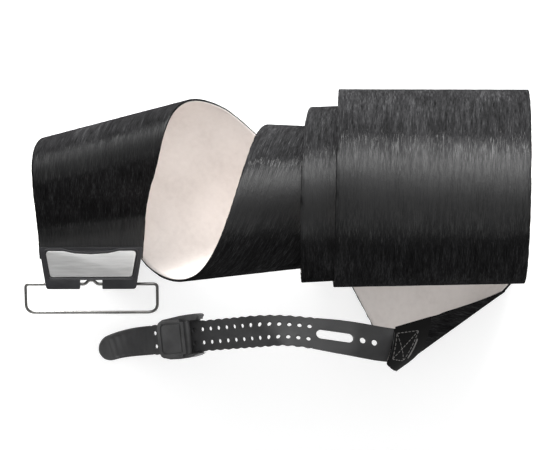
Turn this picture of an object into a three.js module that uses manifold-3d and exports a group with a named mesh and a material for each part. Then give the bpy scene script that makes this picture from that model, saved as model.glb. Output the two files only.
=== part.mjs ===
// A rolled-up climbing skin: a plush strip with an adhesive side, a tip buckle with a wire loop,
// and a tail strap with a sliding clip. Millimetres, +Z up, +X along the roll's axis.
import * as THREE from 'three';
import { mergeVertices } from 'three/addons/utils/BufferGeometryUtils.js';
import { TessellateModifier } from 'three/addons/modifiers/TessellateModifier.js';
import Module from 'manifold-3d';

const wasm = await Module();
wasm.setup();

// ---------- driving dimensions ----------

// The strip's path is measured along its centre line from the foot of the roll, where the outer
// turn touches the ground: positive towards the tip, negative towards the tail.
const FOOT = new THREE.Vector3(112, 26.5, 1.2);
const FOOT_HEADING = THREE.MathUtils.degToRad(1.7);
const PATH_STEP = 1;

// Each row: distance from the foot, bend per metre, lean of the bend line in degrees.
const WINDINGS = [
  [0, 15.25, -1.5], [105, 14.75, -2], [210, 14.75, 0.5], [315, 16, -4], [415, 15.75, -4],
  [505, 17, -2.5], [595, 16.75, -4], [680, 17, -4], [760, 19, -6], [835, 20.75, -11],
  [905, 19.75, -20.5], [975, 16.5, -24.5], [1030, 12.5, -33], [1070, 21.75, -35.5],
  [1100, 13.75, -32.5], [1130, 1.5, -30], [1155, -0.5, -27.5], [1180, 16.6, -30.6],
  [1205, 37.6, -23], [1235, 46, -22.1], [1270, 24.4, -21.2], [1305, -32, -1.2],
  [1316, -34, -8.1], [1327, -32, -6], [1330, 0, 0], [1360, 0, 0],
];
const TAIL = [
  [0, 0, -1.5], [40, 4.5, 25], [60, 8, 28], [80, 13, 32], [100, 18.5, 34], [120, 22.5, 33],
  [140, 27, 46.9], [165, 19.5, 48.4], [185, 5.2, 62.4], [205, -0.2, 39.2], [230, 7.8, 12.9],
  [255, 29.3, -48.6], [278, -5.8, -48.3], [292, 0, -32.1], [352, 0, 48.3], [374, -36.4, 36.5],
  [400, -15.4, 10.8],
];

// Strip width at distances from the foot.
const STRIP_WIDTHS = [
  [-166, 27], [-57, 131], [900, 132], [1030, 122], [1100, 125], [1155, 119],
  [1205, 101], [1270, 83], [1340, 73], [1360, 72],
];
const STRIP_TAIL_END = -166;
const STRIP_TIP_END = 1341;
const ROLL_STATION = 8;
const BEND_STATION = 5;

// Layers, as heights from the strip's middle; the plush is on the roll's outer side.
const PLUSH = { low: -1.05, high: 0.15 };
const MEMBRANE = { low: 0.22, high: 0.5 };
const ADHESIVE = { low: 0.57, high: 1.05 };
const LAYER_GAP = 0.3;

// Tip buckle, in its own frame: x across the strip, y away from the tip, z up off the plush.
const BUCKLE = {
  along: 1347.5, topHalf: 36.7, bottomHalf: 31.7, top: 14.9, bottom: -14.9, corner: 2.2,
  front: 4.6, back: -4.4, split: 0.15, mouth: 4, slot: 1.35, bevel: 3.2,
};
const NOTCH = { half: 7.9, top: -6.8, round: 2.5 };
const PLATE = {
  topHalf: 31.8, bottomHalf: 29.3, top: 12.2, bottom: -6.3, corner: 2.6, dip: 3.2, dipHalf: 20,
  low: 3.3, high: 4.9, gap: 0.3,
};
const SCOOP = { half: 14, low: 12.1, high: 13.7, deep: 0.9 };
const RIVETS = { xs: [-25, -13, 13, 25], y: -1, radius: 1.1, hole: 1.4, head: 2.1, headHigh: 0.9 };
const WIRE = {
  radius: 1.1, half: 46.6, axisY: -11.5, drop: 22.8, topCorner: 3, bottomCorner: 7,
  humpHalf: 5.8, humpHigh: 3.2, lieDown: 26, channel: 1.45, sides: 8, joint: 0.4,
};

// Tail strap, in the flat: distances from the foot like the strip's.
const STRAP = {
  root: -147, tip: -396, round: 9, thick: 2, under: 2.35, levelFrom: -168, levelTo: -196,
  widths: [[-396, 20.2], [-352, 20.6], [-225, 22.2], [-205, 24.4], [-147, 25.6]],
};
const LADDER = { first: -225, pitch: 7, count: 19, row: 4.65, radius: 1.5, scallop: 0.35 };
const LADDER_END = LADDER.first - (LADDER.count - 1) * LADDER.pitch;
const STRAP_SLOT = { from: -194, to: -220, half: 3.4 };
const SINGLE_HOLES = { at: [-178.5, -187.2], radius: 2.1 };

// Patch and thread on the tail's plush side.
const PATCH = { from: -165.6, to: -141, inset: 0.8, thick: 0.7 };
const SEWN_FACET = 4;
const BOX_STITCH = {
  corners: [[-164.2, -8.7], [-154, -8.6], [-149.1, 13.9], [-164.2, 8.5]], thread: 0.6, thick: 0.4,
};
const BAR_STITCH = { from: [-150.6, -6.2], to: [-148.7, 8.1], thread: 1.1, thick: 0.5 };

// Tail clip, in its own frame: x towards the strap's root, y across, z up off the strap.
const CLIP = {
  along: -322, half: 11.8, wall: 2, bottom: -3.2, floor: -1.4, wallTop: 6.6,
  left: -18, right: 11.5, floorRight: 9.5, ramp: 8.7,
};
const LEVER = {
  left: -20.5, right: 2.8, sideRight: -0.2, pinX: 2.4, pinZ: 4.4, low: 6.9, high: 8.9, half: 13.4,
  corner: 6, lugHalf: 11.4, lugRadius: 2.6, frame: 2.5, groove: 1.1, deep: 0.9, recess: 0.3,
};
const PIN = { radius: 1, hole: 1.08, half: 13.6, sides: 16 };

// Shift that puts the origin on the ground under the middle of the whole object.
const HOME = new THREE.Vector3(1.1, 4, -0.1);

// ---------- materials ----------

function finish(color, roughness, metalness = 0) {
  return new THREE.MeshStandardMaterial({ color, roughness, metalness });
}
const PLUSH_BLACK = finish(0x1d1d1f, 0.9);
const MEMBRANE_GREY = finish(0x3a3a3c, 0.8);
const ADHESIVE_CREAM = finish(0xd8cfc8, 0.7);
const BUCKLE_BLACK = finish(0x1a1b1d, 0.45);
const PLATE_STEEL = finish(0xb4b4b2, 0.35, 1);
const WIRE_STEEL = finish(0xc4c2be, 0.2, 1);
const STRAP_BLACK = finish(0x2b2c2e, 0.55);
const CLIP_BLACK = finish(0x232426, 0.5);
const PATCH_BLACK = finish(0x141415, 0.85);
const THREAD_GREY = finish(0x6f6f70, 0.7);

// ---------- the strip's path ----------

// Straight-line reading of a table whose first column rises, or falls, evenly.
function readTable(rows, at, column) {
  let i = 1;
  while (i < rows.length - 1 && at > rows[i][0]) {
    i += 1;
  }
  const [low, high] = [rows[i - 1], rows[i]];
  const share = THREE.MathUtils.clamp((at - low[0]) / (high[0] - low[0]), 0, 1);
  return THREE.MathUtils.lerp(low[column], high[column], share);
}

function bendAt(s) {
  return readTable(s < 0 ? TAIL : WINDINGS, Math.abs(s), 1) / 1000;
}

function leanAt(s) {
  return Math.tan(THREE.MathUtils.degToRad(readTable(s < 0 ? TAIL : WINDINGS, Math.abs(s), 2)));
}

// Stations one step apart. In a station's turn, x runs along the path towards the tip,
// y points to the adhesive side and z runs across the strip. The strip bends round the line
// that leans from z towards x, so it stays a flat sheet that is only rolled, never stretched.
function walkPath(direction, length) {
  const turn = new THREE.Quaternion().setFromRotationMatrix(new THREE.Matrix4().makeBasis(
    new THREE.Vector3(-Math.sin(FOOT_HEADING), Math.cos(FOOT_HEADING), 0),
    new THREE.Vector3(0, 0, 1),
    new THREE.Vector3(Math.cos(FOOT_HEADING), Math.sin(FOOT_HEADING), 0),
  ));
  const place = FOOT.clone();
  const stations = [{ place: place.clone(), turn: turn.clone() }];
  const step = direction * PATH_STEP;
  for (let i = 0; i < length / PATH_STEP; i += 1) {
    const middle = (i + 0.5) * step;
    const spin = new THREE.Vector3(leanAt(middle), 0, 1).multiplyScalar(bendAt(middle) * step / 2);
    const angle = spin.length();
    const halfTurn = new THREE.Quaternion().setFromAxisAngle(spin.normalize(), angle);
    turn.multiply(halfTurn);
    place.add(new THREE.Vector3(step, 0, 0).applyQuaternion(turn));
    turn.multiply(halfTurn);
    stations.push({ place: place.clone(), turn: turn.clone() });
  }
  return stations;
}

const TO_TIP = walkPath(1, 1360);
const TO_TAIL = walkPath(-1, 400);

function frameAt(s) {
  const stations = s < 0 ? TO_TAIL : TO_TIP;
  const exact = Math.abs(s) / PATH_STEP;
  const i = Math.min(Math.floor(exact), stations.length - 2);
  const turn = stations[i].turn.clone().slerp(stations[i + 1].turn, exact - i);
  return {
    place: stations[i].place.clone().lerp(stations[i + 1].place, exact - i),
    along: new THREE.Vector3(1, 0, 0).applyQuaternion(turn),
    inward: new THREE.Vector3(0, 1, 0).applyQuaternion(turn),
    across: new THREE.Vector3(0, 0, 1).applyQuaternion(turn),
  };
}

// The point on the bend line of station s, across from the centre line, at a height
// towards the adhesive side.
function onBendLine(s, across, height) {
  const { place, along, inward, across: side } = frameAt(s);
  return place.addScaledVector(side, across).addScaledVector(along, across * leanAt(s))
    .addScaledVector(inward, height);
}

// The same for a point given in the flat: distance along the strip, distance across it.
function onStrip(distance, across, height) {
  let [low, high] = [distance - 3 * Math.abs(across), distance + 3 * Math.abs(across)];
  for (let i = 0; i < 36; i += 1) {
    const middle = (low + high) / 2;
    if (middle + across * leanAt(middle) < distance) {
      low = middle;
    } else {
      high = middle;
    }
  }
  return onBendLine((low + high) / 2, across, height);
}

function stripHalf(distance) {
  return readTable(STRIP_WIDTHS, distance, 1) / 2;
}

// How far the bend line of station s reaches each way before it leaves the strip.
function reach(s) {
  const lean = leanAt(s);
  const ends = [-1, 1].map((side) => {
    let across = side * stripHalf(s);
    for (let i = 0; i < 8; i += 1) {
      across = side * stripHalf(s + across * lean);
    }
    return across;
  });
  if (lean > 0 && s < 0) {
    ends[0] = Math.max(ends[0], (STRIP_TAIL_END - s) / lean);
  }
  return ends;
}

// ---------- solids ----------

function geometryFrom(vertices, triangles) {
  const geometry = new THREE.BufferGeometry();
  geometry.setAttribute('position', new THREE.Float32BufferAttribute(vertices, 3));
  geometry.setIndex(triangles);
  return geometry;
}

function signedVolume(geometry) {
  const { position } = geometry.attributes;
  const corner = [0, 1, 2].map(() => new THREE.Vector3());
  let sum = 0;
  for (let i = 0; i < geometry.index.count; i += 3) {
    corner.forEach((point, k) => point.fromBufferAttribute(position, geometry.index.getX(i + k)));
    sum += corner[0].dot(corner[1].cross(corner[2]));
  }
  return sum;
}

// Merged corners and faces pointing out.
function tidy(geometry) {
  const bare = geometry.clone();
  bare.deleteAttribute('normal');
  bare.deleteAttribute('uv');
  const merged = mergeVertices(bare, 1e-4);
  if (signedVolume(merged) < 0) {
    const { index } = merged;
    for (let i = 0; i < index.count; i += 3) {
      const first = index.getX(i);
      index.setX(i, index.getX(i + 1));
      index.setX(i + 1, first);
    }
  }
  return merged;
}

// A closed skin over rings that all have the same number of points.
function loft(rings) {
  const sides = rings[0].length;
  const vertices = rings.flat().flatMap((point) => point.toArray());
  const triangles = [];
  for (let r = 0; r < rings.length - 1; r += 1) {
    for (let k = 0; k < sides; k += 1) {
      const [a, b] = [r * sides + k, r * sides + (k + 1) % sides];
      triangles.push(a, b, a + sides, b, b + sides, a + sides);
    }
  }
  const last = (rings.length - 1) * sides;
  for (let k = 1; k < sides - 1; k += 1) {
    triangles.push(0, k + 1, k, last, last + k, last + k + 1);
  }
  return tidy(geometryFrom(vertices, triangles));
}

function solid(geometry) {
  const { position } = geometry.attributes;
  return new wasm.Manifold(new wasm.Mesh({
    numProp: 3,
    vertProperties: new Float32Array(position.array),
    triVerts: new Uint32Array(geometry.index.array),
  }));
}

function shaped(manifold) {
  const { vertProperties, triVerts } = manifold.getMesh();
  return tidy(geometryFrom(Array.from(vertProperties), Array.from(triVerts)));
}

function block(low, high) {
  const [x, y, z] = [0, 1, 2].map((k) => high[k] - low[k]);
  const box = new THREE.BoxGeometry(x, y, z);
  box.translate((low[0] + high[0]) / 2, (low[1] + high[1]) / 2, (low[2] + high[2]) / 2);
  return solid(tidy(box));
}

// A rod along x, y or z between two places on that axis.
function rod(axis, radius, from, to, centre, sides = 12) {
  const cylinder = new THREE.CylinderGeometry(radius, radius, to - from, sides);
  cylinder.translate(0, (from + to) / 2, 0);
  if (axis === 'x') {
    cylinder.rotateZ(-Math.PI / 2);
  }
  if (axis === 'z') {
    cylinder.rotateX(Math.PI / 2);
  }
  cylinder.translate(...centre);
  return solid(tidy(cylinder));
}

function slab(shape, low, high, curveSegments = 4) {
  const settings = { depth: high - low, bevelEnabled: false, curveSegments };
  const extruded = new THREE.ExtrudeGeometry(shape, settings);
  extruded.translate(0, 0, low);
  return solid(tidy(extruded));
}

// An outline through corners [x, y, radius], with each corner rounded.
function roundedOutline(corners) {
  const shape = new THREE.Shape();
  corners.forEach(([x, y, radius], i) => {
    const here = new THREE.Vector2(x, y);
    const before = new THREE.Vector2(...corners[(i + corners.length - 1) % corners.length]);
    const after = new THREE.Vector2(...corners[(i + 1) % corners.length]);
    const start = here.clone().add(before.sub(here).setLength(radius));
    const end = here.clone().add(after.sub(here).setLength(radius));
    if (i === 0) {
      shape.moveTo(start.x, start.y);
    } else {
      shape.lineTo(start.x, start.y);
    }
    if (radius > 0) {
      shape.quadraticCurveTo(x, y, end.x, end.y);
    }
  });
  shape.closePath();
  return shape;
}

// ---------- the strip ----------

function stripStations() {
  const stations = [];
  let s = STRIP_TAIL_END - stripHalf(STRIP_TAIL_END) * leanAt(STRIP_TAIL_END - 16) + 1;
  while (s < STRIP_TIP_END) {
    stations.push(s);
    const tight = bendAt(s) > 0.021 || s < -50;
    s += tight ? BEND_STATION : ROLL_STATION;
  }
  stations.push(STRIP_TIP_END);
  return stations;
}

function stripLayer({ low, high }) {
  const rings = [];
  for (const s of stripStations()) {
    const [left, right] = reach(s);
    if (right - left > 1) {
      rings.push([[left, low], [right, low], [right, high], [left, high]]
        .map(([across, height]) => onBendLine(s, across, height)));
    }
  }
  return loft(rings);
}

// ---------- the tip buckle ----------

function buckleOutline() {
  const { topHalf, bottomHalf, top, bottom, corner } = BUCKLE;
  return roundedOutline([
    [-bottomHalf, bottom, corner], [-NOTCH.half, bottom, 0.8], [-NOTCH.half, NOTCH.top, NOTCH.round],
    [NOTCH.half, NOTCH.top, NOTCH.round], [NOTCH.half, bottom, 0.8], [bottomHalf, bottom, corner],
    [topHalf, top, corner], [-topHalf, top, corner],
  ]);
}

function plateOutline(grow) {
  const shape = new THREE.Shape();
  const { topHalf, bottomHalf, corner, dipHalf } = PLATE;
  const [top, bottom] = [PLATE.top + grow, PLATE.bottom - grow];
  shape.moveTo(-bottomHalf - grow + corner, bottom);
  shape.lineTo(bottomHalf + grow - corner, bottom);
  shape.quadraticCurveTo(bottomHalf + grow, bottom, bottomHalf + grow, bottom + corner);
  shape.lineTo(topHalf + grow, top - corner);
  shape.quadraticCurveTo(topHalf + grow, top, topHalf + grow - corner, top);
  shape.lineTo(dipHalf, top);
  const flat = dipHalf * 0.6;
  shape.bezierCurveTo(flat, top - PLATE.dip, -flat, top - PLATE.dip, -dipHalf, top);
  shape.lineTo(-topHalf - grow + corner, top);
  shape.quadraticCurveTo(-topHalf - grow, top, -topHalf - grow, top - corner);
  shape.lineTo(-bottomHalf - grow, bottom + corner);
  shape.quadraticCurveTo(-bottomHalf - grow, bottom, -bottomHalf - grow + corner, bottom);
  return shape;
}

// Room inside the buckle for the strip's end and for the wire, each side of the split.
function buckleHollow(side) {
  const { mouth, slot, top, topHalf } = BUCKLE;
  const [low, high] = side > 0 ? [-1, slot] : [-slot, 1];
  const [channelLow, channelHigh] = side > 0 ? [-1, WIRE.channel] : [-WIRE.channel, 1];
  const strip = block([-topHalf - 1, mouth, low], [topHalf + 1, top + 1, high]);
  const channel = block(
    [-topHalf - 1, WIRE.axisY - WIRE.channel, channelLow],
    [topHalf + 1, WIRE.axisY + WIRE.channel, channelHigh],
  );
  return strip.add(channel);
}

function rivetHoles() {
  return RIVETS.xs.map((x) => rod('z', RIVETS.hole, BUCKLE.back - 1, BUCKLE.front + 1, [x, RIVETS.y, 0]))
    .reduce((all, hole) => all.add(hole));
}

// The lens-shaped thumb scoop above the plate's dip.
function scoop() {
  const { half, low, high, deep } = SCOOP;
  const shape = new THREE.Shape();
  shape.moveTo(-half, high);
  shape.quadraticCurveTo(0, 2 * low - high, half, high);
  shape.lineTo(-half, high);
  return slab(shape, BUCKLE.front - deep, BUCKLE.front + 1);
}

function frontShell() {
  const { split, front } = BUCKLE;
  const recess = slab(plateOutline(PLATE.gap), PLATE.low - PLATE.gap, front + 1);
  return shaped(slab(buckleOutline(), split, front).subtract(recess).subtract(scoop())
    .subtract(buckleHollow(1)).subtract(rivetHoles()));
}

// What is cut off the back shell's short ends.
function bevelledEnd(side) {
  const { topHalf, bottomHalf, top, bottom, back, bevel } = BUCKLE;
  const rings = [[topHalf, top + 1], [bottomHalf, bottom - 1]].map(([half, y]) => (
    [[half - bevel, back], [half + 1, back - 1], [half + 1, back + bevel + 1]]
      .map(([x, z]) => new THREE.Vector3(side * x, y, z))));
  return solid(loft(rings));
}

function backShell() {
  const { split, back } = BUCKLE;
  const sinkRadius = RIVETS.head + 0.3;
  const ends = bevelledEnd(1).add(bevelledEnd(-1));
  const sinks = RIVETS.xs
    .map((x) => rod('z', sinkRadius, back - 1, back + RIVETS.headHigh + 0.3, [x, RIVETS.y, 0]))
    .reduce((all, sink) => all.add(sink));
  return shaped(slab(buckleOutline(), back, -split).subtract(buckleHollow(-1))
    .subtract(rivetHoles()).subtract(sinks).subtract(ends));
}

function inlayPlate() {
  return shaped(slab(plateOutline(0), PLATE.low, PLATE.high));
}

// Shank through both shells, with its head sunk in the back shell.
function rivet(x) {
  const { radius, head, headHigh, y } = RIVETS;
  const [start, end] = [BUCKLE.back, PLATE.low - 2 * PLATE.gap];
  const profile = [
    [0, start], [head, start], [head, start + headHigh], [radius, start + headHigh],
    [radius, end], [0, end],
  ].map(([r, h]) => new THREE.Vector2(r, h));
  const turned = new THREE.LatheGeometry(profile, 10);
  turned.rotateX(Math.PI / 2);
  turned.translate(x, y, 0);
  return tidy(turned);
}

// The wire's centre line in its own plane, with the pivot axis along y = 0. It starts and ends
// inside the buckle, where its two ends butt.
function wireLine() {
  const { half, drop, topCorner, bottomCorner, humpHalf, humpHigh, joint } = WIRE;
  const buttX = BUCKLE.bottomHalf - 10;
  const line = new THREE.Path();
  line.moveTo(buttX - joint, 0);
  line.lineTo(humpHalf, 0);
  line.bezierCurveTo(humpHalf / 2, 0, humpHalf / 2, humpHigh, 0, humpHigh);
  line.bezierCurveTo(-humpHalf / 2, humpHigh, -humpHalf / 2, 0, -humpHalf, 0);
  line.lineTo(-half + topCorner, 0);
  line.quadraticCurveTo(-half, 0, -half, -topCorner);
  line.lineTo(-half, -drop + bottomCorner);
  line.quadraticCurveTo(-half, -drop, -half + bottomCorner, -drop);
  line.lineTo(half - bottomCorner, -drop);
  line.quadraticCurveTo(half, -drop, half, -drop + bottomCorner);
  line.lineTo(half, -topCorner);
  line.quadraticCurveTo(half, 0, half - topCorner, 0);
  line.lineTo(buttX, 0);
  return line.getPoints(5);
}

function wireLoop() {
  const points = wireLine();
  const rings = points.map((point, i) => {
    const before = points[Math.max(i - 1, 0)];
    const after = points[Math.min(i + 1, points.length - 1)];
    const ahead = after.clone().sub(before).normalize();
    const side = new THREE.Vector3(-ahead.y, ahead.x, 0);
    return Array.from({ length: WIRE.sides }, (_, k) => {
      const angle = (k + 0.5) * 2 * Math.PI / WIRE.sides;
      return new THREE.Vector3(point.x, point.y, 0)
        .addScaledVector(side, WIRE.radius * Math.cos(angle))
        .addScaledVector(new THREE.Vector3(0, 0, 1), WIRE.radius * Math.sin(angle));
    });
  });
  return loft(rings);
}

// ---------- the tail strap and what is sewn on the tail ----------

// The strap's middle lies under the strip's end, and comes level with the path past it.
function strapHeight(distance) {
  const share = THREE.MathUtils.smoothstep(-distance, -STRAP.levelFrom, -STRAP.levelTo);
  return STRAP.under * (1 - share);
}

function strapHalf(distance) {
  const bulge = distance <= LADDER.first + 3.5 && distance >= LADDER_END - 3.5
    ? LADDER.scallop * Math.cos(2 * Math.PI * (LADDER.first - distance) / LADDER.pitch) : 0;
  return readTable(STRAP.widths, distance, 1) / 2 + bulge;
}

function arc(x, y, radius, fromAngle, toAngle, parts) {
  return Array.from({ length: parts + 1 }, (_, i) => {
    const angle = THREE.MathUtils.lerp(fromAngle, toAngle, i / parts);
    return new THREE.Vector2(x + radius * Math.cos(angle), y + radius * Math.sin(angle));
  });
}

function roundHole(x, y, radius) {
  return arc(x, y, radius, 0, -2 * Math.PI, 10).slice(0, -1);
}

// A stretch of strap from one cross-line to the next; a scallop needs its crest as well.
function stretch(from, to, holes = []) {
  const lines = [from, (from + to) / 2, to];
  return {
    holes,
    outline: [
      ...lines.map((x) => new THREE.Vector2(x, strapHalf(x))),
      ...lines.reverse().map((x) => new THREE.Vector2(x, -strapHalf(x))),
    ],
  };
}

// The stretch that holds one round end of the slot, bitten out of its edge at `to`.
function slotEnd(from, to) {
  const { outline, holes } = stretch(from, to);
  const turn = Math.sign(from - to) * Math.PI / 2;
  const bite = arc(to, 0, STRAP_SLOT.half, turn, -turn, 8)
    .map(({ x, y }) => new THREE.Vector2(to + Math.sign(from - to) * Math.abs(x - to), y));
  outline.splice(3, 0, ...(bite[0].y > 0 ? bite : bite.reverse()));
  return { outline, holes };
}

// The two rails beside the slot.
function slotRails(from, to) {
  return [1, -1].map((side) => ({
    holes: [],
    outline: [
      new THREE.Vector2(from, side * strapHalf(from)), new THREE.Vector2(to, side * strapHalf(to)),
      new THREE.Vector2(to, side * STRAP_SLOT.half), new THREE.Vector2(from, side * STRAP_SLOT.half),
    ],
  }));
}

function strapStretches() {
  const { half, from, to } = STRAP_SLOT;
  const [slotStart, slotStop] = [from - half, to + half];
  const cells = [stretch(STRAP.root, -156), stretch(-156, -165), stretch(-165, -174)];
  cells.push(stretch(-174, -183, [roundHole(SINGLE_HOLES.at[0], 0, SINGLE_HOLES.radius)]));
  cells.push(stretch(-183, -191.5, [roundHole(SINGLE_HOLES.at[1], 0, SINGLE_HOLES.radius)]));
  cells.push(slotEnd(-191.5, slotStart));
  for (let i = 0; i < 3; i += 1) {
    const step = (slotStop - slotStart) / 3;
    cells.push(...slotRails(slotStart + i * step, slotStart + (i + 1) * step));
  }
  cells.push(slotEnd(LADDER.first + LADDER.pitch / 2, slotStop));
  for (let i = 0; i < LADDER.count; i += 1) {
    const x = LADDER.first - i * LADDER.pitch;
    const pair = [-LADDER.row, LADDER.row].map((y) => roundHole(x, y, LADDER.radius));
    cells.push(stretch(x + LADDER.pitch / 2, x - LADDER.pitch / 2, pair));
  }
  const start = LADDER_END - LADDER.pitch / 2;
  const stop = STRAP.tip + STRAP.round;
  for (let i = 0; i < 4; i += 1) {
    cells.push(stretch(start + (stop - start) * i / 4, start + (stop - start) * (i + 1) / 4));
  }
  const end = arc(0, 0, 1, Math.PI / 2, 1.5 * Math.PI, 10)
    .map(({ x, y }) => new THREE.Vector2(stop + x * STRAP.round, y * strapHalf(stop)));
  cells.push({ outline: end, holes: [] });
  return cells;
}

// A closed sheet laid on the strip's path between two heights, from flat triangles.
function laid(points, faces, low, high, lift = () => 0) {
  const vertices = [low, high].flatMap((height) => points.flatMap(({ x, y }) => (
    onStrip(x, y, height + lift(x)).toArray())));
  const count = points.length;
  const rims = new Map();
  const triangles = [];
  for (const [a, b, c] of faces) {
    triangles.push(a, b, c, a + count, c + count, b + count);
    for (const [from, to] of [[a, b], [b, c], [c, a]]) {
      if (!rims.delete(`${to} ${from}`)) {
        rims.set(`${from} ${to}`, [from, to]);
      }
    }
  }
  for (const [from, to] of rims.values()) {
    triangles.push(to, from, from + count, to, from + count, to + count);
  }
  return tidy(geometryFrom(vertices, triangles));
}

// Flat triangles of outlines that share their cross-lines.
function flatMesh(cells) {
  const points = [];
  const faces = [];
  const known = new Map();
  const keep = (point) => {
    const key = `${point.x.toFixed(3)} ${point.y.toFixed(3)}`;
    if (!known.has(key)) {
      known.set(key, points.push(point) - 1);
    }
    return known.get(key);
  };
  for (const { outline, holes } of cells) {
    const corners = [outline, ...holes].flat();
    for (const face of THREE.ShapeUtils.triangulateShape(outline, holes)) {
      const [a, b, c] = face.map((i) => corners[i]);
      const turn = (b.x - a.x) * (c.y - a.y) - (b.y - a.y) * (c.x - a.x);
      faces.push((turn > 0 ? [a, b, c] : [a, c, b]).map(keep));
    }
  }
  return { points, faces };
}

function tailStrap() {
  const { points, faces } = flatMesh(strapStretches());
  return laid(points, faces, -STRAP.thick / 2, STRAP.thick / 2, strapHeight);
}

// Flat triangles of one outline, cut small enough to follow the bend.
function fineMesh(shape, facet) {
  const flat = new THREE.ShapeGeometry(shape);
  const { position } = new TessellateModifier(facet, 12).modify(flat).attributes;
  const cells = [];
  for (let i = 0; i < position.count; i += 3) {
    const outline = [0, 1, 2].map((k) => (
      new THREE.Vector2(position.getX(i + k), position.getY(i + k))));
    cells.push({ outline, holes: [] });
  }
  return flatMesh(cells);
}

function patchHeight() {
  return PLUSH.low - LAYER_GAP;
}

function tailPatch() {
  const { from, to, inset, thick } = PATCH;
  const [narrow, wide] = [stripHalf(from) - inset, stripHalf(to) - inset];
  const shape = new THREE.Shape([
    new THREE.Vector2(from, -narrow), new THREE.Vector2(to, -wide),
    new THREE.Vector2(to, wide), new THREE.Vector2(from, narrow),
  ]);
  const { points, faces } = fineMesh(shape, SEWN_FACET);
  return laid(points, faces, patchHeight() - thick, patchHeight());
}

// Four triangles cut from a four-sided shape leave its outline and its two diagonals.
function boxStitch() {
  const { thread, thick } = BOX_STITCH;
  const corners = BOX_STITCH.corners.map(([x, y]) => new THREE.Vector2(x, y));
  const crossing = crossingOf(corners);
  const shape = new THREE.Shape(corners);
  corners.forEach((corner, i) => {
    const next = corners[(i + 1) % 4];
    const centre = corner.clone().add(next).add(crossing).divideScalar(3);
    const triangle = [corner, next, crossing].map((point) => (
      point.clone().add(centre.clone().sub(point).setLength(thread * 1.6))));
    shape.holes.push(new THREE.Path(triangle.reverse()));
  });
  const top = patchHeight() - PATCH.thick - LAYER_GAP;
  const { points, faces } = fineMesh(shape, SEWN_FACET);
  return laid(points, faces, top - thick, top);
}

// Where the diagonals of a four-sided shape meet.
function crossingOf([a, b, c, d]) {
  const [first, second] = [c.clone().sub(a), d.clone().sub(b)];
  const share = b.clone().sub(a).cross(second) / first.cross(second);
  return a.clone().addScaledVector(first, share);
}

function barStitch() {
  const { from, to, thread, thick } = BAR_STITCH;
  const [start, end] = [new THREE.Vector2(...from), new THREE.Vector2(...to)];
  const run = end.clone().sub(start);
  const side = new THREE.Vector2(-run.y, run.x).setLength(thread / 2);
  const shape = new THREE.Shape([
    start.clone().add(side), start.clone().sub(side), end.clone().sub(side), end.clone().add(side),
  ]);
  const top = patchHeight() - PATCH.thick - LAYER_GAP;
  const { points, faces } = fineMesh(shape, SEWN_FACET);
  return laid(points, faces, top - thick, top);
}

// ---------- the tail clip ----------

// One side wall with its curved outer face; the hooked one ends in a small nub.
function sideWall(side) {
  const { half, wall, left, right, bottom, wallTop } = CLIP;
  const shape = new THREE.Shape();
  shape.moveTo(left, side * half);
  shape.lineTo(right, side * half);
  if (side > 0) {
    shape.lineTo(right + 0.4, side * (half + 1.2));
    shape.lineTo(right + 1.6, side * (half + 2.6));
    shape.quadraticCurveTo(right + 1, side * (half + 4.4), right - 3, side * (half + 4.2));
    shape.quadraticCurveTo(2, side * (half + 4.6), left + 1, side * (half + wall));
  } else {
    shape.quadraticCurveTo(6, side * (half + 3.6), left + 5, side * (half + wall + 0.6));
  }
  shape.lineTo(left, side * (half + wall - 0.6));
  return slab(shape, bottom, wallTop);
}

function pinHole() {
  return rod('y', PIN.hole, -30, 30, [LEVER.pinX, 0, LEVER.pinZ], PIN.sides);
}

function clipBody() {
  const { half, left, right, floorRight, bottom, floor, ramp, wallTop } = CLIP;
  const base = block([left, -half - 0.5, bottom], [floorRight, half + 0.5, floor]);
  // The walls drop towards the open end, past the lever.
  const slope = roundedOutline([
    [ramp, wallTop + 4, 0], [right + 9, wallTop + 4, 0], [right + 9, 1.6, 0],
    [ramp + 5.5, 3.4, 3], [ramp, wallTop + 0.1, 0],
  ]);
  const cut = new THREE.ExtrudeGeometry(slope, { depth: 60, bevelEnabled: false, curveSegments: 4 });
  cut.translate(0, 0, -30);
  cut.rotateX(Math.PI / 2);
  return shaped(base.add(sideWall(1)).add(sideWall(-1)).subtract(solid(tidy(cut)))
    .subtract(pinHole()));
}

// The lid's outline, drawn in from its edge.
function lidOutline(inset, corner) {
  const { left, right, half } = LEVER;
  return roundedOutline([
    [left + inset, -half + inset, corner], [right - inset, -half + inset, 1],
    [right - inset, half - inset, 1], [left + inset, half - inset, corner],
  ]);
}

function clipLever() {
  const { right, pinX, pinZ, low, high, corner, lugHalf, lugRadius } = LEVER;
  const { half, sideRight, frame, groove, deep, recess } = LEVER;
  // The lid's end by the pin is narrower, so that it swings between the clip's walls.
  const lid = [-1, 1].reduce((rest, side) => rest.subtract(block(
    [sideRight, side > 0 ? lugHalf : -half - 1, low - 1],
    [right + 1, side > 0 ? half + 1 : -lugHalf, high + 1],
  )), slab(lidOutline(0, corner), low, high));
  const grooveRing = slab(lidOutline(frame, corner - 2), high - deep, high + 1)
    .subtract(slab(lidOutline(frame + groove, corner - 3), high - deep - 1, high + 2));
  const panel = slab(lidOutline(frame + groove / 2, corner - 2.5), high - recess, high + 1);
  const lug = block([right - 5, -lugHalf, low - 2], [pinX, lugHalf, low + 0.5])
    .add(block([right - 3, -lugHalf, pinZ - 1.5], [right, lugHalf, low + 0.5]))
    .add(rod('y', lugRadius, -lugHalf, lugHalf, [pinX, 0, pinZ], 20));
  return shaped(lid.subtract(grooveRing).subtract(panel).add(lug).subtract(pinHole()));
}

function leverPin() {
  return shaped(rod('y', PIN.radius, -PIN.half, PIN.half, [LEVER.pinX, 0, LEVER.pinZ], PIN.sides));
}

// ---------- assembly ----------

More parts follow.
